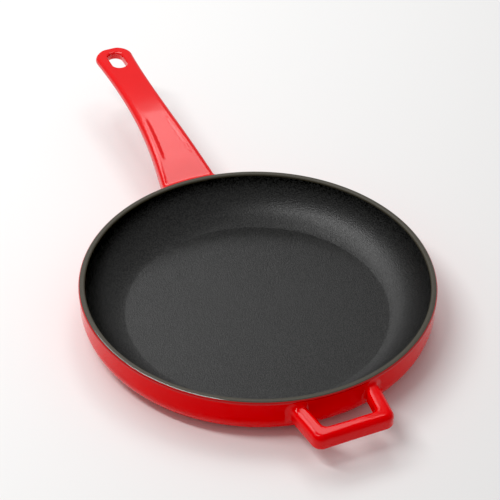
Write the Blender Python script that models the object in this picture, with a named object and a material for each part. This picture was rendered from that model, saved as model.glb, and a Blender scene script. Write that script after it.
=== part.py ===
"""Enamelled cast iron skillet, in metres: origin under the middle of the base, +Z up, handle along +Y."""

import math

import bmesh
import bpy

MM = 0.001

# Pan: the driving sizes, all in millimetres and all over the enamel.
RIM_RADIUS = 140.0
PAN_HEIGHT = 38.0
WALL_FLARE = 0.5
OUTER_ROUND = 22.0
FLOOR_THICKNESS = 5.0
INNER_ROUND = 26.0
INNER_DRAFT = 8.0
RIM_WIDTH = 5.2
RIM_OUTER_ROUND = 2.0
RIM_INNER_ROUND = 1.6
RIM_COAT_DROP = 2.4
RIM_COAT_INNER_DROP = 2.0
COAT = 0.5
GAP = 0.3

# Long handle: a tapering bar that rises in a curve from the rim's outer edge and widens again at its tip.
HANDLE_LENGTH = 188.0
HANDLE_BELOW_RIM = 1.2
HANDLE_RISE = 18.7
HANDLE_RISE_POWER = 4.0
HANDLE_WIDTH = 26.8
HANDLE_FLARE = 18.4
HANDLE_FLARE_POWER = 3.1
HANDLE_TIP_SWELL = 6.9
HANDLE_TIP_SWELL_POWER = 5.2
HANDLE_THICKNESS = 10.0
HANDLE_ROOT_EXTRA = 9.7
HANDLE_ROOT_EXTRA_POWER = 4.0
HANDLE_TIP_THINNING = 2.3
HANDLE_TIP_THINNING_POWER = 3.0
HANDLE_DISH = 0.9
HANDLE_TOP_ROUND = 2.6
HANDLE_BELOW_ROUND = 3.6
HANDLE_END_ROUND = 13.7
HOLE_WIDTH = 13.5
HOLE_LENGTH = 25.0
HOLE_TO_TIP = 8.5

# Helper loop: a level bracket with a window for the fingers, under the rim opposite the handle.
LOOP_REACH = 33.0
LOOP_HALF_WIDTH = 32.0
LOOP_ANGLE = 6.5
LOOP_THICK = 11.0
LOOP_TALL = 13.0
LOOP_BELOW_RIM = 6.1
LOOP_OUTER_CORNER = 9.5
LOOP_INNER_CORNER = 4.5
LOOP_ROUND = 4.3

# How finely the round shapes are cut into facets, and how far helpers run past what they cut.
SEGMENTS = 60
ARC_STEPS = 6
CORNER_STEPS = 3
HOLE_STEPS = 8
HANDLE_STEPS = 13
TIP_TURNS = (15.0, 35.0, 52.0, 67.0, 80.0)
TIP_END_SHARE = 0.006
SHARP_TURN = 35.0
SINK = 9.0
OVERRUN = 4.0

for old in list(bpy.data.objects):
    bpy.data.objects.remove(old, do_unlink=True)


def material(name, colour, roughness, metallic):
    """A plain Principled material."""
    made = bpy.data.materials.new(name)
    made.use_nodes = True
    shader = made.node_tree.nodes["Principled BSDF"]
    shader.inputs["Base Color"].default_value = (*colour, 1.0)
    shader.inputs["Roughness"].default_value = roughness
    shader.inputs["Metallic"].default_value = metallic
    return made


CAST_IRON = material("cast_iron", (0.10, 0.10, 0.10), 0.65, 1.0)
RED_ENAMEL = material("red_enamel", (0.55, 0.004, 0.008), 0.12, 0.0)
BLACK_ENAMEL = material("black_enamel", (0.03, 0.03, 0.03), 0.5, 0.0)


def solid(name, work, look):
    """An object from a closed working mesh: faces turned outwards, round stretches shaded smooth."""
    bmesh.ops.recalc_face_normals(work, faces=work.faces)
    mesh = bpy.data.meshes.new(name)
    work.to_mesh(mesh)
    work.free()
    mesh.shade_smooth()
    mesh.set_sharp_from_angle(angle=math.radians(SHARP_TURN))
    mesh.materials.append(look)
    made = bpy.data.objects.new(name, mesh)
    bpy.context.scene.collection.objects.link(made)
    return made


def revolved(name, profile, look):
    """The closed profile's (radius, height) points spun round the pan's axis."""
    work = bmesh.new()
    corners = [work.verts.new((radius * MM, 0.0, height * MM)) for radius, height in profile]
    sides = [pair for pair in zip(corners, corners[1:] + corners[:1]) if pair[0].co.x + pair[1].co.x > 0]
    edges = [work.edges.new(pair) for pair in sides]
    bmesh.ops.spin(work, geom=corners + edges, axis=(0, 0, 1), angle=2 * math.pi, steps=SEGMENTS)
    bmesh.ops.remove_doubles(work, verts=work.verts, dist=GAP * MM / 100)
    return solid(name, work, look)


def lofted(name, rings, look):
    """Rings of equal length joined in order, with both ends closed."""
    work = bmesh.new()
    loops = [[work.verts.new((x * MM, y * MM, z * MM)) for x, y, z in ring] for ring in rings]
    for near, far in zip(loops, loops[1:]):
        for k in range(len(near)):
            work.faces.new((near[k - 1], near[k], far[k], far[k - 1]))
    work.faces.new(loops[0])
    work.faces.new(loops[-1])
    return solid(name, work, look)


def arc(centre, radius, start, end, steps):
    """Points along an arc, the angles in degrees from the outward direction."""
    turns = [math.radians(start + (end - start) * k / steps) for k in range(steps + 1)]
    return [(centre[0] + radius * math.cos(turn), centre[1] + radius * math.sin(turn)) for turn in turns]


def cut(target, cutter):
    """Takes the cutter away from the target and hides the cutter."""
    step = target.modifiers.new("cut_" + cutter.name, "BOOLEAN")
    step.operation = "DIFFERENCE"
    step.solver = "EXACT"
    step.object = cutter
    cutter.hide_render = True
    cutter.display_type = "WIRE"


# The pan's skin is four runs, each at a depth below the enamelled surface, with a gap from coat to coat.
WALL_FOOT_RADIUS = RIM_RADIUS - WALL_FLARE
BASE_RADIUS = WALL_FOOT_RADIUS - OUTER_ROUND
RIM_FOOT = PAN_HEIGHT - RIM_COAT_DROP
OUTSIDE_TOP = RIM_FOOT - GAP
RIM_INNER_FOOT = PAN_HEIGHT - RIM_COAT_INNER_DROP
LINING_TOP = RIM_INNER_FOOT - GAP
RIM_EDGE = (RIM_RADIUS - RIM_OUTER_ROUND, PAN_HEIGHT - RIM_OUTER_ROUND)
INNER_RIM_RADIUS = RIM_RADIUS - RIM_WIDTH
INNER_SLOPE = math.tan(math.radians(INNER_DRAFT))
COVE_HEIGHT = FLOOR_THICKNESS + INNER_ROUND
COVE_EDGE_HEIGHT = COVE_HEIGHT - INNER_ROUND * math.sin(math.radians(INNER_DRAFT))
COVE_EDGE_RADIUS = INNER_RIM_RADIUS - INNER_SLOPE * (RIM_INNER_FOOT - COVE_EDGE_HEIGHT)
FLOOR_RADIUS = COVE_EDGE_RADIUS - INNER_ROUND * math.cos(math.radians(INNER_DRAFT))
ROUND_START = -89.0


def wall_radius(height):
    """Radius of the outer wall, which leans out a little from the round at its foot to the rim."""
    return WALL_FOOT_RADIUS + WALL_FLARE * (height - OUTER_ROUND) / (RIM_EDGE[1] - OUTER_ROUND)


def base_run(depth):
    return [(0.0, depth), (BASE_RADIUS - GAP, depth)]


def outside_run(depth):
    foot = arc((BASE_RADIUS, OUTER_ROUND), OUTER_ROUND - depth, ROUND_START, 0.0, ARC_STEPS)
    return foot + [(wall_radius(OUTSIDE_TOP) - depth, OUTSIDE_TOP)]


def rim_run(depth):
    inner = (INNER_RIM_RADIUS + RIM_INNER_ROUND, PAN_HEIGHT - RIM_INNER_ROUND)
    run = [(wall_radius(RIM_FOOT) - depth, RIM_FOOT)]
    run += arc(RIM_EDGE, RIM_OUTER_ROUND - depth, 0.0, 90.0, CORNER_STEPS)
    run += arc(inner, RIM_INNER_ROUND - depth, 90.0, 180.0, CORNER_STEPS)
    return run + [(INNER_RIM_RADIUS + depth, RIM_INNER_FOOT)]


def inside_run(depth):
    top_radius = INNER_RIM_RADIUS - INNER_SLOPE * (RIM_INNER_FOOT - LINING_TOP)
    run = [(top_radius + depth, LINING_TOP)]
    run += arc((FLOOR_RADIUS, COVE_HEIGHT), INNER_ROUND + depth, -INNER_DRAFT, -90.0, ARC_STEPS)
    return run + [(0.0, FLOOR_THICKNESS - depth)]


def coat(name, run, look):
    """A run of the surface and the same run one coat deeper, closed into a thin solid."""
    return revolved(name, run(0.0) + run(COAT)[::-1], look)


CORE_DEPTH = COAT + GAP
core_profile = base_run(CORE_DEPTH) + outside_run(CORE_DEPTH)
core_profile += rim_run(CORE_DEPTH)[1:-1] + inside_run(CORE_DEPTH)
revolved("pan_casting", core_profile, CAST_IRON)
coat("cooking_surface_enamel", inside_run, BLACK_ENAMEL)
rim_enamel = coat("rim_enamel", rim_run, BLACK_ENAMEL)
outside_enamel = coat("outside_enamel", outside_run, RED_ENAMEL)
coat("base_enamel", base_run, RED_ENAMEL)

# Everything inside this solid is pan: both handles stop one gap short of the casting.
trim_profile = [(0.0, -OVERRUN), (BASE_RADIUS, -OVERRUN)] + outside_run(COAT)
trim_profile += arc(RIM_EDGE, RIM_OUTER_ROUND - COAT, 0.0, 90.0, CORNER_STEPS)
trim_profile += [(0.0, PAN_HEIGHT - COAT)]


def rounded_section(half_width, half_height, top_round, below_round, dish):
    """A rounded oblong round the origin, its top face dished; anticlockwise from the lower right."""
    found = []
    corners = (
        (1, -1, -90.0, below_round),
        (1, 1, 0.0, top_round),
        (-1, 1, 90.0, top_round),
        (-1, -1, 180.0, below_round),
    )
    for side, level, start, radius in corners:
        centre = (side * (half_width - radius), level * (half_height - radius))
        found += arc(centre, radius, start, start + 90.0, CORNER_STEPS)
        if (side, level) == (1, 1):
            for share in (0.5, 0.0, -0.5):
                found.append((share * centre[0], half_height - dish * (1.0 - share * share)))
    return found


HANDLE_ROOT = WALL_FOOT_RADIUS
HANDLE_TIP = HANDLE_ROOT + HANDLE_LENGTH
HANDLE_ROOT_TOP = PAN_HEIGHT - HANDLE_BELOW_RIM
ROUND_SHARE = 0.85


def handle_ring(y, depth):
    """The handle's cross-section at a distance y from the pan's axis, shrunk by depth on every side."""
    along = (y - HANDLE_ROOT) / HANDLE_LENGTH
    left = max(0.0, 1.0 - along)
    swell = max(along, 0.0)
    top = HANDLE_ROOT_TOP + HANDLE_RISE * (1.0 - left**HANDLE_RISE_POWER)
    width = HANDLE_WIDTH + HANDLE_FLARE * left**HANDLE_FLARE_POWER
    width += HANDLE_TIP_SWELL * swell**HANDLE_TIP_SWELL_POWER
    thick = HANDLE_THICKNESS + HANDLE_ROOT_EXTRA * left**HANDLE_ROOT_EXTRA_POWER
    thick -= HANDLE_TIP_THINNING * swell**HANDLE_TIP_THINNING_POWER
    half = width / 2 - depth
    tall = thick / 2 - depth
    edge = HANDLE_TOP_ROUND - depth
    end_round = HANDLE_END_ROUND - depth
    dish = HANDLE_DISH
    to_tip = HANDLE_TIP - depth - y
    if to_tip < end_round:
        narrowing = math.sqrt(1.0 - (1.0 - to_tip / end_round) ** 2)
        half *= narrowing
        dish *= narrowing
    if to_tip < edge:
        tall += math.sqrt(edge**2 - (edge - to_tip) ** 2) - edge
    most = ROUND_SHARE * min(half, tall)
    section = rounded_section(half, tall, min(edge, most), min(HANDLE_BELOW_ROUND - depth, most), dish)
    return [(x, y, top - thick / 2 + z) for x, z in section]


def handle_rings(depth, start):
    """Cross-sections from a start inside the wall, along the bar and round its tip."""
    tip = HANDLE_TIP - depth
    end_round = HANDLE_END_ROUND - depth
    run = tip - end_round - HANDLE_ROOT
    stations = [start] + [HANDLE_ROOT + run * k / HANDLE_STEPS for k in range(HANDLE_STEPS + 1)]
    stations += [tip - end_round * (1.0 - math.sin(math.radians(turn))) for turn in TIP_TURNS]
    return [handle_ring(y, depth) for y in stations + [tip - end_round * TIP_END_SHARE]]


def hole_solid(name, depth):
    """The hang hole's slot, made wider by depth, standing through the handle's end."""
    radius = HOLE_WIDTH / 2 + depth
    reach = (HOLE_LENGTH - HOLE_WIDTH) / 2
    middle = HANDLE_TIP - HOLE_TO_TIP - HOLE_LENGTH / 2
    outline = [(x, y + reach) for x, y in arc((0.0, middle), radius, 0.0, 180.0, HOLE_STEPS)]
    outline += [(x, y - reach) for x, y in arc((0.0, middle), radius, 180.0, 360.0, HOLE_STEPS)]
    top = HANDLE_ROOT_TOP + HANDLE_RISE
    levels = (top - HANDLE_THICKNESS - OVERRUN, top + OVERRUN)
    return lofted(name, [[(x, y, z) for x, y in outline] for z in levels], CAST_IRON)


def handle_solid(name, depth, start, look):
    made = lofted(name, handle_rings(depth, start), look)
    cut(made, hole_solid(name + "_hole", depth))
    return made


def bracket_run(half_width, reach, corner):
    """Plan points of one side of a leaning bracket outline, from inside the wall to the corner's end."""
    lean = math.radians(LOOP_ANGLE)
    setback = corner * (1.0 - math.sin(lean)) / math.cos(lean)
    round_corner = arc((half_width - setback, reach - corner), corner, LOOP_ANGLE, 90.0, ARC_STEPS)
    levels = (RIM_RADIUS - SINK - OVERRUN, RIM_RADIUS + OVERRUN)
    arm = [(half_width + math.tan(lean) * (reach - y), y) for y in levels]
    return arm + round_corner


def loop_solid(name, depth, extra, look):
    """The helper loop, shrunk by depth on every side, its ends run extra millimetres further in."""
    reach = RIM_RADIUS + LOOP_REACH
    window = LOOP_HALF_WIDTH - LOOP_THICK / math.cos(math.radians(LOOP_ANGLE))
    outer = bracket_run(LOOP_HALF_WIDTH - depth, reach - depth, LOOP_OUTER_CORNER - depth)
    inner = bracket_run(window + depth, reach - LOOP_THICK + depth, LOOP_INNER_CORNER + depth)
    middle = PAN_HEIGHT - LOOP_BELOW_RIM - LOOP_TALL / 2
    edge = LOOP_ROUND - depth
    side = []
    for k, (far, near) in enumerate(zip(outer, inner)):
        centre = ((far[0] + near[0]) / 2, (far[1] + near[1]) / 2 - (0.0 if k else extra))
        half = math.dist(far, near) / 2
        across = ((far[0] - near[0]) / (2 * half), (far[1] - near[1]) / (2 * half))
        section = rounded_section(half, LOOP_TALL / 2 - depth, edge, edge, 0.0)
        side.append([(centre[0] + u * across[0], -centre[1] - u * across[1], middle + v) for u, v in section])
    other = [[(-x, y, z) for x, y, z in ring] for ring in side[::-1]]
    return lofted(name, side + other, look)


# Handle and loop: an iron core with the red coat as a shell round it, open where it meets the pan.
HANDLE_START = HANDLE_ROOT - SINK
handle_casting = handle_solid("long_handle_casting", CORE_DEPTH, HANDLE_START, CAST_IRON)
handle_enamel = handle_solid("handle_enamel", 0.0, HANDLE_START, RED_ENAMEL)
cut(handle_enamel, handle_solid("handle_enamel_inside", COAT, HANDLE_START - OVERRUN, RED_ENAMEL))
loop_casting = loop_solid("helper_loop_casting", CORE_DEPTH, 0.0, CAST_IRON)
loop_enamel = loop_solid("loop_enamel", 0.0, 0.0, RED_ENAMEL)
cut(loop_enamel, loop_solid("loop_enamel_inside", COAT, OVERRUN, RED_ENAMEL))
trim = revolved("pan_side", trim_profile, CAST_IRON)
for piece in (handle_casting, handle_enamel, loop_casting, loop_enamel):
    cut(piece, trim)

# The pan's coats are left open where the iron of the handle and of the loop comes through them.
handle_window = lofted("handle_window", handle_rings(-GAP, HANDLE_START), RED_ENAMEL)
cut(outside_enamel, handle_window)
cut(rim_enamel, handle_window)
cut(outside_enamel, loop_solid("loop_window", -GAP, 0.0, RED_ENAMEL))
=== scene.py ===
"""Looks of the enamelled cast iron skillet, in metres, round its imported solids."""

import math

import bpy
from mathutils import Matrix, Vector


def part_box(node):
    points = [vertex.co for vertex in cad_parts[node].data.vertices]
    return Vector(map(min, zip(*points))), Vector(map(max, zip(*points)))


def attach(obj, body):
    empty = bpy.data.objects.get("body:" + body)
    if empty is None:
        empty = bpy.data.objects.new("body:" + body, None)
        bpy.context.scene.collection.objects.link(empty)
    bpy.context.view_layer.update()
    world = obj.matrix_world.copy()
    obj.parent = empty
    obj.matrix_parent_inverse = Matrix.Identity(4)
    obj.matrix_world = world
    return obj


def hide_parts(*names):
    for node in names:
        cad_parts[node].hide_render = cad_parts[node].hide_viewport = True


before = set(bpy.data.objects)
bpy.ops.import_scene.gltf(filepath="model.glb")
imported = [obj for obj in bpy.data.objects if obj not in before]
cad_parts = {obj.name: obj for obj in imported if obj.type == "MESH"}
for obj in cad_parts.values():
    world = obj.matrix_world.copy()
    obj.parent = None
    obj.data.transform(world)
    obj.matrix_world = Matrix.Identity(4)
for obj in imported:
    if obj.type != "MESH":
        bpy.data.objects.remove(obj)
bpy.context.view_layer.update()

# Camera and film
# The pan is seen from its front left, about forty degrees up, through a long lens.
# Colours stay plain, because a filmic curve would turn the red enamel pink, and a small black level
# deepens the darkest tones.
VIEW_AZIMUTH = math.radians(-24.68)
VIEW_ELEVATION = math.radians(39.25)
VIEW_ROLL = math.radians(0.92)
VIEW_CENTRE = Vector((0.0, 0.0, 0.0365))
VIEW_DISTANCE = 1.4054
VIEW_SIDEWAYS = -0.0063
VIEW_RAISE = 0.0228
NEAR_CLIP = 0.05
LENS_PIXELS = 1800.0
IMAGE_PIXELS = 500.0
SENSOR_MM = 36.0
BLACK_LEVEL = 0.01

backwards = Vector((
    math.sin(VIEW_AZIMUTH) * math.cos(VIEW_ELEVATION),
    -math.cos(VIEW_AZIMUTH) * math.cos(VIEW_ELEVATION),
    math.sin(VIEW_ELEVATION),
))
level_right = Vector((0.0, 0.0, 1.0)).cross(backwards).normalized()
level_up = backwards.cross(level_right)
right = level_right * math.cos(VIEW_ROLL) + level_up * math.sin(VIEW_ROLL)
up = level_up * math.cos(VIEW_ROLL) - level_right * math.sin(VIEW_ROLL)
standpoint = VIEW_CENTRE + backwards * VIEW_DISTANCE + right * VIEW_SIDEWAYS + up * VIEW_RAISE
facing = Matrix((right, up, backwards)).transposed().to_4x4()
camera = bpy.data.objects.new("camera", bpy.data.cameras.new("camera"))
bpy.context.scene.collection.objects.link(camera)
camera.matrix_world = Matrix.Translation(standpoint) @ facing
camera.data.sensor_width = SENSOR_MM
camera.data.lens = SENSOR_MM * LENS_PIXELS / IMAGE_PIXELS
camera.data.clip_start = NEAR_CLIP
bpy.context.scene.camera = camera
film = bpy.context.scene.view_settings
film.view_transform = "Standard"
film.use_curve_mapping = True
film.curve_mapping.black_level = (BLACK_LEVEL, BLACK_LEVEL, BLACK_LEVEL)
film.curve_mapping.update()

# Iron castings
# Grey sand-cast iron: the pan, the long handle and the helper loop are one casting under the enamel.
# Nothing of it shows, but it keeps a grainy iron finish for anyone who takes the coats off.
MM = 0.001
IRON_DARK = (0.05, 0.05, 0.05, 1.0)
IRON_PALE = (0.14, 0.135, 0.13, 1.0)
IRON_GRAINS_PER_METRE = 900.0
IRON_GRAIN_DEPTH = 0.3 * MM
IRON_ROUGHNESS = 0.55
IRON_GRAIN_ROUGHNESS = 0.25


class Signal:
    """A shader socket that takes part in Python sums; each sum adds one Math node."""

    def __init__(self, look, socket):
        self.look = look
        self.socket = socket

    def math(self, operation, *values):
        return self.look.node("ShaderNodeMath", {"operation": operation}, dict(enumerate(values)))

    def __add__(self, other):
        return self.math("ADD", self, other)

    def __radd__(self, other):
        return self.math("ADD", other, self)

    def __sub__(self, other):
        return self.math("SUBTRACT", self, other)

    def __rsub__(self, other):
        return self.math("SUBTRACT", other, self)

    def __mul__(self, other):
        return self.math("MULTIPLY", self, other)

    def __rmul__(self, other):
        return self.math("MULTIPLY", other, self)

    def __pow__(self, other):
        return self.math("POWER", self, other)


class Finish:
    """A Principled material whose nodes are added by one method."""

    def __init__(self, name):
        self.material = bpy.data.materials.new(name)
        self.material.use_nodes = True
        self.nodes = self.material.node_tree.nodes
        self.links = self.material.node_tree.links
        self.shader = self.nodes["Principled BSDF"]
        self.place = self.node("ShaderNodeTexCoord", {}, {}, "Object")

    def fill(self, socket, value):
        if isinstance(value, Signal):
            self.links.new(value.socket, socket)
        else:
            socket.default_value = value

    def node(self, kind, settings, sockets, output=0):
        """Adds a node, with its settings first, and gives one of its outputs."""
        made = self.nodes.new(kind)
        for key, value in settings.items():
            setattr(made, key, value)
        for key, value in sockets.items():
            self.fill(made.inputs[key], value)
        return Signal(self, made.outputs[output])

    def noise(self, scale, detail=2.0, roughness=0.5):
        """Cloudy noise, with this many clouds to the metre."""
        sockets = {"Scale": scale, "Detail": detail, "Roughness": roughness, "Vector": self.place}
        return self.node("ShaderNodeTexNoise", {}, sockets)

    def coordinate(self, axis):
        return self.node("ShaderNodeSeparateXYZ", {}, {"Vector": self.place}, axis)

    def blend(self, share, first, second):
        return self.node("ShaderNodeMix", {"data_type": "RGBA"}, {0: share, 6: first, 7: second}, 2)

    def ramp(self, value, low, high):
        """A smooth step from nought at low to one at high."""
        sockets = {"Value": value, "From Min": low, "From Max": high}
        return self.node("ShaderNodeMapRange", {"interpolation_type": "SMOOTHSTEP"}, sockets)

    def bump(self, height, strength, distance):
        sockets = {"Height": height, "Strength": strength, "Distance": distance}
        return self.node("ShaderNodeBump", {}, sockets)

    def set(self, **values):
        """Fills the shader's sockets, named with an underscore for each space."""
        for key, value in values.items():
            self.fill(self.shader.inputs[key.replace("_", " ")], value)


iron = Finish("cast_iron_finish")
grain = iron.noise(IRON_GRAINS_PER_METRE, detail=4.0)
iron.set(
    Base_Color=iron.blend(grain, IRON_DARK, IRON_PALE),
    Roughness=IRON_ROUGHNESS + IRON_GRAIN_ROUGHNESS * grain,
    Metallic=1.0,
    Normal=iron.bump(grain, strength=0.5, distance=IRON_GRAIN_DEPTH),
)
for node in ("pan_casting", "long_handle_casting", "helper_loop_casting"):
    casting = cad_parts[node]
    casting.data.materials.clear()
    casting.data.materials.append(iron.material)

# Red coat of the pan's outside
# Glossy red enamel, half a millimetre thick, over the wall, the round below it and the flat base.
# It is sprayed and fired, so its gloss is a little wavy, and it ends at the foot of the rim's round.
COAT = 0.5 * MM
RIM_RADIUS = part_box("rim_enamel")[1].x
PAN_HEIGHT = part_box("rim_enamel")[1].z
WALL_FLARE = 0.5 * MM
OUTER_ROUND = 22.0 * MM
RIM_ROUND = 2.4 * MM
RIM_FOOT = PAN_HEIGHT - RIM_ROUND
WALL_FOOT_RADIUS = RIM_RADIUS - WALL_FLARE
BASE_RADIUS = WALL_FOOT_RADIUS - OUTER_ROUND
POLE_RING = 2.0 * MM  # the smallest ring, which close_poles draws into a point
POLE_REACH = 1.5 * POLE_RING
POLE_LEVEL_GAP = COAT / 5
MERGE_DISTANCE = 0.002 * MM
CREASE_ANGLE = 40.0
TURN_STEPS = 192
BASE_STEPS = 8
OUTER_ROUND_STEPS = 24
WALL_STEPS = 6
RED_DEEP = (0.74, 0.0, 0.001, 1.0)
RED_BRIGHT = (0.80, 0.0, 0.002, 1.0)
RED_WAVES_PER_METRE = 55.0
RED_SPECKS_PER_METRE = 420.0
RED_SPECK_HEIGHT = 0.12
RED_SPECK_ROUGHNESS = 0.05
RED_WAVE_DEPTH = 0.4 * MM


def arc(centre, radius, start, end, steps):
    """Points along an arc, the angles in degrees from the outward direction."""
    x, y = centre
    turns = [math.radians(start + (end - start) * k / steps) for k in range(steps + 1)]
    return [(x + radius * math.cos(turn), y + radius * math.sin(turn)) for turn in turns]


def line(start, end, steps):
    """Points along a straight run, without its first point."""
    across = end[0] - start[0]
    rise = end[1] - start[1]
    shares = [k / steps for k in range(1, steps + 1)]
    return [(start[0] + across * share, start[1] + rise * share) for share in shares]


def finished(piece, name, look):
    """Turns the faces outwards, shades the piece smooth and gives it its name, finish and body."""
    bpy.ops.object.mode_set(mode="EDIT")
    bpy.ops.mesh.select_all(action="SELECT")
    bpy.ops.mesh.remove_doubles(threshold=MERGE_DISTANCE)
    bpy.ops.mesh.normals_make_consistent(inside=False)
    bpy.ops.object.mode_set(mode="OBJECT")
    bpy.ops.object.shade_smooth_by_angle(angle=math.radians(CREASE_ANGLE))
    piece.name = name
    piece.data.name = name
    piece.data.materials.clear()
    piece.data.materials.append(look.material)
    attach(piece, "root")


def turned(profile):
    """A turned piece: a first ring, extruded and resized to each next (radius, height)."""
    bpy.ops.object.select_all(action="DESELECT")
    radius, height = profile[0]
    bpy.ops.mesh.primitive_circle_add(vertices=TURN_STEPS, radius=radius, location=(0.0, 0.0, height))
    piece = bpy.context.object
    bpy.ops.object.transform_apply(location=True, rotation=True, scale=True)
    bpy.ops.object.mode_set(mode="EDIT")
    bpy.ops.mesh.select_all(action="SELECT")
    for (near, low), (far, high) in zip(profile, profile[1:]):
        bpy.ops.mesh.extrude_edges_move(TRANSFORM_OT_translate={"value": (0.0, 0.0, high - low)})
        bpy.ops.transform.resize(value=(far / near, far / near, 1.0), center_override=(0.0, 0.0, 0.0))
    bpy.ops.object.mode_set(mode="OBJECT")
    return piece


def close_poles(piece):
    """Draws each small ring round the axis into one point."""
    rings = {round(v.co.z, 6) for v in piece.data.vertices if v.co.xy.length < POLE_REACH}
    for level in sorted(rings):
        bpy.ops.object.mode_set(mode="EDIT")
        bpy.ops.mesh.select_all(action="DESELECT")
        bpy.ops.object.mode_set(mode="OBJECT")
        for vertex in piece.data.vertices:
            in_ring = abs(vertex.co.z - level) < POLE_LEVEL_GAP
            vertex.select = in_ring and vertex.co.xy.length < POLE_REACH
        bpy.ops.object.mode_set(mode="EDIT")
        bpy.ops.mesh.merge(type="CENTER")
        bpy.ops.object.mode_set(mode="OBJECT")


def wall_radius(height):
    """Radius of the pan's outer wall, or of the round below it."""
    if height > OUTER_ROUND:
        share = min(1.0, (height - OUTER_ROUND) / (RIM_FOOT - OUTER_ROUND))
        return WALL_FOOT_RADIUS + WALL_FLARE * share
    return BASE_RADIUS + math.sqrt(max(0.0, OUTER_ROUND**2 - (OUTER_ROUND - height) ** 2))


def outside_run(depth):
    """From the middle of the base, round the corner and up the wall, at a depth below the face."""
    run = [(POLE_RING, depth)]
    run += line(run[0], (BASE_RADIUS, depth), BASE_STEPS)
    run += arc((BASE_RADIUS, OUTER_ROUND), OUTER_ROUND - depth, -90.0, 0.0, OUTER_ROUND_STEPS)[1:]
    return run + line(run[-1], (RIM_RADIUS - depth, RIM_FOOT), WALL_STEPS)


def red_enamel(name, shine, softness):
    """Fired red enamel, a little wavy, as shiny and as soft in its reflections as the piece needs."""
    look = Finish(name)
    waves = look.noise(RED_WAVES_PER_METRE, detail=1.0)
    speck = look.noise(RED_SPECKS_PER_METRE)
    look.set(
        Base_Color=look.blend(waves, RED_DEEP, RED_BRIGHT),
        Roughness=softness + RED_SPECK_ROUGHNESS * speck,
        Specular_IOR_Level=shine,
        Normal=look.bump(waves + RED_SPECK_HEIGHT * speck, strength=0.3, distance=RED_WAVE_DEPTH),
    )
    return look


outside = turned(outside_run(0.0) + outside_run(COAT)[::-1])
close_poles(outside)
finished(outside, "outside_coat", red_enamel("outside_enamel_finish", shine=0.12, softness=0.06))
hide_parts("outside_enamel", "base_enamel")

# Rim band
# Dark enamel over the top edge of the casting, satin and olive grey where the flat is rubbed.
# The wall's red runs up its outer round, and a thin glossy line shows where the two coats meet.
RIM_WIDTH = 5.2 * MM
RIM_INNER_ROUND = 1.6 * MM
RIM_INNER_FOOT = PAN_HEIGHT - 2.0 * MM
RIM_ROUND_STEPS = 10
RIM_INNER_ROUND_STEPS = 8
RIM_DARK = (0.032, 0.028, 0.019, 1.0)
RIM_OLIVE = (0.074, 0.065, 0.045, 1.0)
RIM_RED = (0.5, 0.0, 0.001, 1.0)
RIM_RED_FROM = RIM_RADIUS - 1.0 * MM
RIM_RED_FULL = RIM_RADIUS - 0.75 * MM
RIM_GLOSS_FROM = RIM_RADIUS - 1.8 * MM
RIM_GLOSS_FULL = RIM_RADIUS - 1.4 * MM
RIM_ROUGHNESS = 0.5
RIM_GLOSS = 0.48
RIM_PITS_PER_METRE = 700.0
RIM_PIT_ROUGHNESS = 0.1
RIM_PIT_DEPTH = 0.2 * MM


def rim_run(depth):
    """Up the rim's outer round, over its flat and down its inner side, at a depth below the face."""
    outer = (RIM_RADIUS - RIM_ROUND, RIM_FOOT)
    inner_radius = RIM_RADIUS - RIM_WIDTH
    inner = (inner_radius + RIM_INNER_ROUND, PAN_HEIGHT - RIM_INNER_ROUND)
    run = arc(outer, RIM_ROUND - depth, 0.0, 90.0, RIM_ROUND_STEPS)
    run += arc(inner, RIM_INNER_ROUND - depth, 90.0, 180.0, RIM_INNER_ROUND_STEPS)
    return run + [(inner_radius + depth, RIM_INNER_FOOT)]


satin = Finish("rim_enamel_finish")
pits = satin.noise(RIM_PITS_PER_METRE, detail=3.0)
from_axis = (satin.coordinate("X") ** 2.0 + satin.coordinate("Y") ** 2.0) ** 0.5
edge = satin.ramp(from_axis, RIM_RED_FROM, RIM_RED_FULL)
gloss = satin.ramp(from_axis, RIM_GLOSS_FROM, RIM_GLOSS_FULL)
satin.set(
    Base_Color=satin.blend(edge, satin.blend(pits, RIM_DARK, RIM_OLIVE), RIM_RED),
    Roughness=RIM_ROUGHNESS + RIM_PIT_ROUGHNESS * pits - RIM_GLOSS * gloss,
    Specular_IOR_Level=0.5,
    Coat_Weight=gloss * (1.0 - edge),
    Normal=satin.bump(pits, strength=0.2, distance=RIM_PIT_DEPTH),
)
rim_profile = rim_run(0.0) + rim_run(COAT)[::-1]
rim = turned(rim_profile + rim_profile[:1])
finished(rim, "rim_band", satin)
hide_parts("rim_enamel")

# Cooking surface
# Matt black enamel over the floor, the corner and the inner wall, fired with a fine pebbled skin.
# A soft edge goes round the floor, and one wide sweep leads from it up to the wall.
FLOOR_LEVEL = 5.0 * MM
FLOOR_EDGE_ROUND = 9.0 * MM
FLOOR_EDGE_TURN = 10.0
INNER_ROUND = 36.0 * MM
INNER_DRAFT = 8.0
FLOOR_STEPS = 12
FLOOR_EDGE_STEPS = 4
INNER_ROUND_STEPS = 20
INNER_WALL_STEPS = 3
BLACK_DEEP = (0.01, 0.01, 0.01, 1.0)
BLACK_GRIT = (0.034, 0.034, 0.033, 1.0)
BLACK_ROUGHNESS = 0.29
PEBBLES_PER_METRE = 850.0
PEBBLE_DEPTH = 0.3 * MM
GRIT_FROM = 0.35
GRIT_FULL = 0.65
PATCHES_PER_METRE = 18.0
PATCH_ROUGHNESS = 0.06


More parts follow.
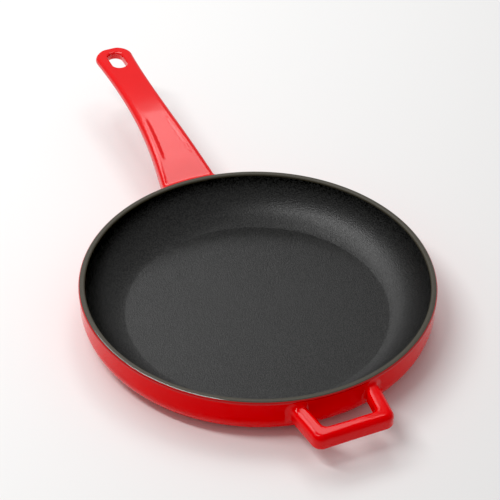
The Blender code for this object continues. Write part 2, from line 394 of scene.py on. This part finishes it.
def lining_run(depth):
    """From the middle of the floor, up the corner and the inner wall, at a depth below the face."""
    draft = math.radians(INNER_DRAFT)
    turn = math.radians(FLOOR_EDGE_TURN)
    lift = (INNER_ROUND - FLOOR_EDGE_ROUND) * (1.0 - math.cos(turn))
    corner_level = FLOOR_LEVEL + INNER_ROUND - lift
    wall_foot = corner_level - INNER_ROUND * math.sin(draft)
    lean = math.tan(draft) * (RIM_INNER_FOOT - wall_foot)
    corner_radius = RIM_RADIUS - RIM_WIDTH - lean - INNER_ROUND * math.cos(draft)
    floor_radius = corner_radius + (INNER_ROUND - FLOOR_EDGE_ROUND) * math.sin(turn)
    edge_centre = (floor_radius, FLOOR_LEVEL + FLOOR_EDGE_ROUND)
    edge_end = FLOOR_EDGE_TURN - 90.0
    run = [(POLE_RING, FLOOR_LEVEL - depth)]
    run += line(run[0], (floor_radius, FLOOR_LEVEL - depth), FLOOR_STEPS)
    run += arc(edge_centre, FLOOR_EDGE_ROUND + depth, -90.0, edge_end, FLOOR_EDGE_STEPS)[1:]
    corner = (corner_radius, corner_level)
    run += arc(corner, INNER_ROUND + depth, edge_end, -INNER_DRAFT, INNER_ROUND_STEPS)[1:]
    return run + line(run[-1], (RIM_RADIUS - RIM_WIDTH + depth, RIM_INNER_FOOT), INNER_WALL_STEPS)


black = Finish("black_enamel_finish")
pebble = black.noise(PEBBLES_PER_METRE, detail=3.0, roughness=0.6)
grit = black.ramp(pebble, GRIT_FROM, GRIT_FULL)
patches = black.noise(PATCHES_PER_METRE)
black.set(
    Base_Color=black.blend(grit, BLACK_DEEP, BLACK_GRIT),
    Roughness=BLACK_ROUGHNESS + PATCH_ROUGHNESS * patches,
    Specular_IOR_Level=0.5,
    Normal=black.bump(pebble, strength=1.0, distance=PEBBLE_DEPTH),
)
lining = turned(lining_run(0.0) + lining_run(COAT)[::-1])
close_poles(lining)
finished(lining, "cooking_surface", black)
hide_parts("cooking_surface_enamel")

# Long handle's red coat
# The same red enamel round the cast handle: a bar that flares to the wall and rises in a curve.
# Its shoulders are round, a shallow scoop lies in its top near the pan, and the broad rounded tip
# has a long hole to hang the pan by.
HANDLE_ROOT = WALL_FOOT_RADIUS
HANDLE_LENGTH = 188.0 * MM
HANDLE_TIP = HANDLE_ROOT + HANDLE_LENGTH
HANDLE_ROOT_TOP = PAN_HEIGHT - 1.2 * MM
HANDLE_RISE = 18.7 * MM
HANDLE_RISE_POWER = 4.0
HANDLE_WIDTH = 28.9 * MM
HANDLE_FLARE = 18.6 * MM
HANDLE_FLARE_POWER = 3.1
HANDLE_TIP_SWELL = 6.9 * MM
HANDLE_TIP_SWELL_POWER = 5.2
HANDLE_THICKNESS = 9.6 * MM
HANDLE_ROOT_EXTRA = 9.7 * MM
HANDLE_ROOT_EXTRA_POWER = 4.0
HANDLE_TIP_THINNING = 2.3 * MM
HANDLE_TIP_THINNING_POWER = 3.0
HANDLE_SHOULDER = 5.0 * MM
HANDLE_BELOW_ROUND = 5.0 * MM
HANDLE_FULLEST_ROUND = 0.95  # the most of the half width or height that a round may take
HANDLE_END_ROUND = 13.7 * MM
HANDLE_TIP_ROUND = 2.6 * MM
HANDLE_FILLET = 4.5 * MM
HANDLE_LIP_SHARE = 0.2  # of the fillet, above the handle
HANDLE_SETTLE = 26.0 * MM  # from the wall to the first straight ring
FILLET_FADE_TO_TOP = 2.5 * MM
FILLET_FADE_ACROSS = 18.0 * MM
FILLET_FADE_UP = 4.0 * MM
INTO_WALL = 1.2 * MM  # how deep the handles' ends sit in the wall
SCOOP_DEPTH = 0.8 * MM
SCOOP_MARGIN = 7.9 * MM
SCOOP_SLOPE = 1.9 * MM
SCOOP_START = 19.0 * MM
SCOOP_DEEP = 34.0 * MM
SCOOP_SHALLOW = 60.0 * MM
SCOOP_END = 82.0 * MM
TOP_FACE_SHARE = 0.99  # of the half height, above which a point is on the top face
HOLE_WIDTH = 13.5 * MM
HOLE_LENGTH = 25.0 * MM
HOLE_TO_TIP = 8.5 * MM
HOLE_FLARE = 1.6 * MM
CUT_SPREAD = 2.7 * MM
CUT_PAST = 4.0 * MM  # how far the cutter stands out of the handle
ROUND_STEPS = 6
SIDE_STEPS = 4
BELOW_STEPS = 8
HANDLE_TOP_STEPS = 40
HANDLE_FILLET_STEP = 9.0
HANDLE_FILLET_RINGS = 11
SETTLE_STEPS = 12
STRAIGHT_STEPS = 80
TIP_TURNS = range(3, 84, 4)
HOLE_END_STEPS = 24
MOUTH_START = 10.0
MOUTH_STEPS = 6


def section(half_width, half_height, rounds, top_steps):
    """A rounded oblong of (across, up) points, anticlockwise from the lower right."""
    corners = ((1, -1), (1, 1), (-1, 1), (-1, -1))
    steps = (SIDE_STEPS, top_steps, SIDE_STEPS, BELOW_STEPS)
    found = []
    for quarter, ((across, level), radius) in enumerate(zip(corners, rounds)):
        centre = (across * (half_width - radius), level * (half_height - radius))
        corner = arc(centre, radius, quarter * 90.0 - 90.0, quarter * 90.0, ROUND_STEPS)
        if found:
            found += line(found[-1], corner[0], steps[quarter - 1])[:-1]
        found += corner
    return found + line(found[-1], found[0], steps[-1])[:-1]


def eased(value, low, high):
    """A smooth step from nought at low to one at high."""
    share = min(1.0, max(0.0, (value - low) / (high - low)))
    return share * share * (3.0 - 2.0 * share)


def handle_size(y):
    """Top level, width and thickness of the handle at a distance y from the pan's axis."""
    along = min(1.0, max(0.0, (y - HANDLE_ROOT) / HANDLE_LENGTH))
    left = 1.0 - along
    top = HANDLE_ROOT_TOP + HANDLE_RISE * (1.0 - left**HANDLE_RISE_POWER)
    width = HANDLE_WIDTH + HANDLE_FLARE * left**HANDLE_FLARE_POWER
    width += HANDLE_TIP_SWELL * along**HANDLE_TIP_SWELL_POWER
    thick = HANDLE_THICKNESS + HANDLE_ROOT_EXTRA * left**HANDLE_ROOT_EXTRA_POWER
    thick -= HANDLE_TIP_THINNING * along**HANDLE_TIP_THINNING_POWER
    return top, width, thick


def scoop(x, y, half):
    """How far the handle's top is sunk at a point, between soft slopes."""
    along = y - HANDLE_ROOT
    deep = eased(along, SCOOP_START, SCOOP_DEEP) * eased(along, SCOOP_END, SCOOP_SHALLOW)
    reach = half - SCOOP_MARGIN
    return SCOOP_DEPTH * deep * eased(abs(x), reach + SCOOP_SLOPE, reach - SCOOP_SLOPE)


def handle_ring(y):
    """The handle's section at a distance y from the pan's axis, as (x, z) points."""
    top, width, thick = handle_size(y)
    half = width / 2
    tall = thick / 2
    to_tip = HANDLE_TIP - y
    if to_tip < HANDLE_END_ROUND:
        half *= math.sqrt(max(0.0, 1.0 - (1.0 - to_tip / HANDLE_END_ROUND) ** 2))
    if to_tip < HANDLE_TIP_ROUND:
        past = HANDLE_TIP_ROUND - to_tip
        tall += math.sqrt(max(0.0, HANDLE_TIP_ROUND**2 - past**2)) - HANDLE_TIP_ROUND
    most = HANDLE_FULLEST_ROUND * min(half, tall)
    above = min(HANDLE_SHOULDER, most)
    below = min(HANDLE_BELOW_ROUND, most)
    ring = []
    for x, z in section(half, tall, (below, above, above, below), HANDLE_TOP_STEPS):
        sunk = scoop(x, y, half) if z > TOP_FACE_SHARE * tall else 0.0
        ring.append((x, top - thick / 2 + z - sunk))
    return ring


def wall_reach(across, height):
    """How far from the axis line the pan's outer wall stands, at a distance across and a height."""
    return math.sqrt(max(0.0, wall_radius(height) ** 2 - across**2))


def wrapped(rings):
    """A grid wrapped into a bar, one row for each ring, its seam merged and its ends filled."""
    around = len(rings[0])
    bpy.ops.object.select_all(action="DESELECT")
    bpy.ops.mesh.primitive_grid_add(x_subdivisions=around, y_subdivisions=len(rings) - 1)
    piece = bpy.context.object
    places = [c for ring in rings for point in ring + ring[:1] for c in point]
    piece.data.vertices.foreach_set("co", places)
    bpy.ops.object.mode_set(mode="EDIT")
    bpy.ops.mesh.select_all(action="SELECT")
    bpy.ops.mesh.remove_doubles(threshold=MERGE_DISTANCE)
    bpy.ops.mesh.select_all(action="DESELECT")
    bpy.ops.mesh.select_non_manifold()
    bpy.ops.mesh.fill_holes(sides=0)
    bpy.ops.mesh.select_all(action="SELECT")
    bpy.ops.mesh.normals_make_consistent(inside=False)
    bpy.ops.object.mode_set(mode="OBJECT")
    return piece


def fillet_spread(reach, radius):
    """How far a fillet of this radius still stands out at a reach from the wall."""
    near = max(0.0, 1.0 - max(reach, 0.0) / radius)
    return radius * (1.0 - math.sqrt(max(0.0, 1.0 - near * near)))


def fillet_reaches(radius, step, rings):
    """Reaches from the wall of a fillet's rings, some degrees apart, after one inside the wall."""
    turns = [math.radians(k * step) for k in range(rings)]
    return [-INTO_WALL] + [radius * (1.0 - math.cos(turn)) for turn in turns]


def root_ring(reach):
    """A ring of the handle's root, which lies along the round wall and straightens further out."""
    spread = fillet_spread(reach, HANDLE_FILLET)
    settle = eased(reach, 0.0, HANDLE_SETTLE)
    station = HANDLE_ROOT + reach
    shape = handle_ring(station)
    middle = sum(z for _, z in shape) / len(shape)
    ring = []
    for x, z in shape:
        lift = spread if z < middle else HANDLE_LIP_SHARE * spread
        side = spread * min(1.0, max(0.0, (HANDLE_ROOT_TOP - z) / FILLET_FADE_TO_TOP))
        wide = x + math.copysign(side, x) * min(1.0, abs(x) / FILLET_FADE_ACROSS)
        high = z + math.copysign(lift, z - middle) * min(1.0, abs(z - middle) / FILLET_FADE_UP)
        y = (wall_reach(wide, high) + reach) * (1.0 - settle) + station * settle
        ring.append((wide, y, high))
    return ring


def handle_rings():
    """Rings from inside the wall, over the fillet at the root and out to the tip."""
    settle_length = HANDLE_SETTLE - HANDLE_FILLET
    reaches = fillet_reaches(HANDLE_FILLET, HANDLE_FILLET_STEP, HANDLE_FILLET_RINGS)
    reaches += [HANDLE_FILLET + settle_length * k / SETTLE_STEPS for k in range(1, SETTLE_STEPS + 1)]
    start = HANDLE_ROOT + HANDLE_SETTLE
    straight = HANDLE_TIP - HANDLE_END_ROUND - start
    stations = [start + straight * k / STRAIGHT_STEPS for k in range(1, STRAIGHT_STEPS + 1)]
    for turn in TIP_TURNS:
        stations.append(HANDLE_TIP - HANDLE_END_ROUND * (1.0 - math.sin(math.radians(turn))))
    rings = [root_ring(reach) for reach in reaches]
    return rings + [[(x, y, z) for x, z in handle_ring(y)] for y in stations]


def hole_outline(radius):
    """Plan of the hang hole, two half circles and the straight sides between them."""
    reach = (HOLE_LENGTH - HOLE_WIDTH) / 2
    middle = HANDLE_TIP - HOLE_TO_TIP - HOLE_LENGTH / 2
    far_end = arc((0.0, middle + reach), radius, 0.0, 180.0, HOLE_END_STEPS)
    near_end = arc((0.0, middle - reach), radius, 180.0, 360.0, HOLE_END_STEPS)
    return far_end + near_end


def hole_cutter():
    """The hang hole as a slot whose mouths open in a round, so that the cut leaves soft edges."""
    turns = [MOUTH_START + k * (90.0 - MOUTH_START) / MOUTH_STEPS for k in range(MOUTH_STEPS + 1)]
    rings = []
    for upper, order in ((True, turns), (False, turns[::-1])):
        for turn in order:
            wide = HOLE_FLARE * (1.0 - math.sin(math.radians(turn)))
            sunk = HOLE_FLARE * (1.0 - math.cos(math.radians(turn)))
            ring = []
            for x, y in hole_outline(HOLE_WIDTH / 2 + wide):
                top, _, thick = handle_size(y)
                ring.append((x, y, top - sunk if upper else top - thick + sunk))
            rings.append(ring)
    highest = HANDLE_ROOT_TOP + HANDLE_RISE + CUT_PAST
    lowest = highest - HANDLE_THICKNESS - 2 * CUT_PAST
    widest = hole_outline(HOLE_WIDTH / 2 + HOLE_FLARE + CUT_SPREAD)
    first = [(x, y, highest) for x, y in widest]
    last = [(x, y, lowest) for x, y in widest]
    return wrapped([first] + rings + [last])


def carve(piece, cutter):
    """Cuts one piece out of another and takes the cutter away."""
    step = piece.modifiers.new("carve", "BOOLEAN")
    step.operation = "DIFFERENCE"
    step.solver = "EXACT"
    step.object = cutter
    bpy.ops.object.select_all(action="DESELECT")
    piece.select_set(True)
    bpy.context.view_layer.objects.active = piece
    bpy.ops.object.modifier_apply(modifier=step.name)
    bpy.data.objects.remove(cutter, do_unlink=True)


handle = wrapped(handle_rings())
carve(handle, hole_cutter())
finished(handle, "handle_coat", red_enamel("handle_enamel_finish", shine=0.62, softness=0.15))
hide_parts("handle_enamel")

# Helper loop's red coat
# A level bracket with a window for the fingers, cast with the pan and enamelled with it.
# Its top is rounder along the outer edge than along the inner one, and it swells where its two arms
# run into the wall.
LOOP_REACH = RIM_RADIUS + 33.0 * MM
LOOP_HALF_WIDTH = 32.0 * MM
LOOP_ANGLE = 6.5
LOOP_THICK = 11.0 * MM
LOOP_TALL = 13.0 * MM
LOOP_TOP = PAN_HEIGHT - 6.1 * MM
LOOP_OUTER_CORNER = 7.5 * MM
LOOP_INNER_CORNER = 4.5 * MM
LOOP_OUTER_BELOW = 2.8 * MM
LOOP_OUTER_ABOVE = 5.3 * MM
LOOP_INNER_ABOVE = 3.2 * MM
LOOP_INNER_BELOW = 4.3 * MM
LOOP_ROUNDS = (LOOP_OUTER_BELOW, LOOP_OUTER_ABOVE, LOOP_INNER_ABOVE, LOOP_INNER_BELOW)
LOOP_FILLET = 3.5 * MM
LOOP_FILLET_STEP = 10.0
LOOP_FILLET_RINGS = 9
LOOP_TOP_STEPS = 8
LOOP_ARM_STEPS = 9
LOOP_CORNER_STEPS = 12
LOOP_BAR_STEPS = 5


def bracket_run(half_width, reach, corner):
    """Plan of one side of a leaning outline, from the fillet at the wall to the middle of the bar."""
    lean = math.radians(LOOP_ANGLE)
    setback = corner * (1.0 - math.sin(lean)) / math.cos(lean)
    centre = (half_width - setback, reach - corner)
    round_corner = arc(centre, corner, LOOP_ANGLE, 90.0, LOOP_CORNER_STEPS)
    foot_reach = RIM_RADIUS + LOOP_FILLET
    foot = (half_width + math.tan(lean) * (reach - foot_reach), foot_reach)
    arm = line(foot, round_corner[0], LOOP_ARM_STEPS)[:-1]
    bar = line(round_corner[-1], (0.0, reach), LOOP_BAR_STEPS)
    return [foot] + arm + round_corner + bar


def loop_rings():
    """Rings along the loop: the fillet in the wall, one arm, the bar and the other arm."""
    lean = math.radians(LOOP_ANGLE)
    half_thick = LOOP_THICK / math.cos(lean) / 2
    outer = bracket_run(LOOP_HALF_WIDTH, LOOP_REACH, LOOP_OUTER_CORNER)
    inner = bracket_run(LOOP_HALF_WIDTH - 2 * half_thick, LOOP_REACH - LOOP_THICK, LOOP_INNER_CORNER)
    middle = LOOP_TOP - LOOP_TALL / 2
    at_wall = LOOP_HALF_WIDTH - half_thick + math.tan(lean) * (LOOP_REACH - RIM_RADIUS)
    half = []
    for reach in fillet_reaches(LOOP_FILLET, LOOP_FILLET_STEP, LOOP_FILLET_RINGS):
        swell = 1.0 + fillet_spread(reach, LOOP_FILLET) / half_thick
        ring = []
        for u, v in section(half_thick, LOOP_TALL / 2, LOOP_ROUNDS, LOOP_TOP_STEPS):
            x = at_wall + u * swell - math.tan(lean) * reach
            z = middle + v * swell
            ring.append((x, -(wall_reach(x, z) + reach), z))
        half.append(ring)
    for far, near in zip(outer, inner):
        centre = ((far[0] + near[0]) / 2, (far[1] + near[1]) / 2)
        reach = math.dist(far, near) / 2
        across = ((far[0] - near[0]) / (2 * reach), (far[1] - near[1]) / (2 * reach))
        ring = []
        for u, v in section(reach, LOOP_TALL / 2, LOOP_ROUNDS, LOOP_TOP_STEPS):
            ring.append((centre[0] + u * across[0], -centre[1] - u * across[1], middle + v))
        half.append(ring)
    mirrored = [[(-x, y, z) for x, y, z in ring] for ring in half[:-1]]
    return half + mirrored[::-1]


loop = wrapped(loop_rings())
finished(loop, "loop_coat", red_enamel("loop_enamel_finish", shine=0.3, softness=0.06))
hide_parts("loop_enamel")

# Studio
# A plain pale floor under a narrow strip light at the left and a wide soft light at the back left.
# The long light gives the red coats their sheen and leaves the cooking surface out.
# The back light shines on the cooking surface alone, so that its floor stands out from the dark corner.
FLOOR_SIZE = 12.0
FLOOR_GAP = 0.1 * MM
FLOOR_PALE = (0.86, 0.855, 0.85, 1.0)
ROOM_WHITE = (1.0, 1.0, 1.0, 1.0)
ROOM_BRIGHTNESS = 0.41

bpy.ops.object.select_all(action="DESELECT")
bpy.ops.mesh.primitive_plane_add(size=FLOOR_SIZE, location=(0.0, 0.0, -FLOOR_GAP))
floor = bpy.context.object
floor.name = "floor"
paper = Finish("floor_paper")
paper.set(Base_Color=FLOOR_PALE, Roughness=0.9, Specular_IOR_Level=0.1)
floor.data.materials.append(paper.material)


def soft_light(name, place, size, power, turn=0.0):
    """An oblong soft light that faces straight down, turned by some degrees."""
    lamp = bpy.data.objects.new(name, bpy.data.lights.new(name, "AREA"))
    bpy.context.scene.collection.objects.link(lamp)
    lamp.data.shape = "RECTANGLE"
    lamp.data.size = size[0]
    lamp.data.size_y = size[1]
    lamp.data.energy = power
    lamp.location = place
    lamp.rotation_euler.z = math.radians(turn)
    return lamp


soft_light("key_light", place=(-0.75, 0.15, 1.28), size=(0.12, 1.1), power=9.2, turn=36.0)
soft_light("top_light", place=(-0.46, 0.97, 1.3), size=(1.12, 0.6), power=8.8)
back_light = soft_light("back_light", place=(0.52, 1.9, 1.3), size=(0.76, 0.75), power=4.6)
long_light = soft_light("long_light", place=(0.42, 0.84, 1.3), size=(0.48, 1.3), power=5.8)
for lamp, state in ((back_light, "INCLUDE"), (long_light, "EXCLUDE")):
    receivers = bpy.data.collections.new(lamp.name + "_receivers")
    receivers.objects.link(lining)
    receivers.collection_objects[0].light_linking.link_state = state
    lamp.light_linking.receiver_collection = receivers
room = bpy.data.worlds.new("studio")
room.use_nodes = True
backdrop = room.node_tree.nodes["Background"]
backdrop.inputs["Color"].default_value = ROOM_WHITE
backdrop.inputs["Strength"].default_value = ROOM_BRIGHTNESS
bpy.context.scene.world = room
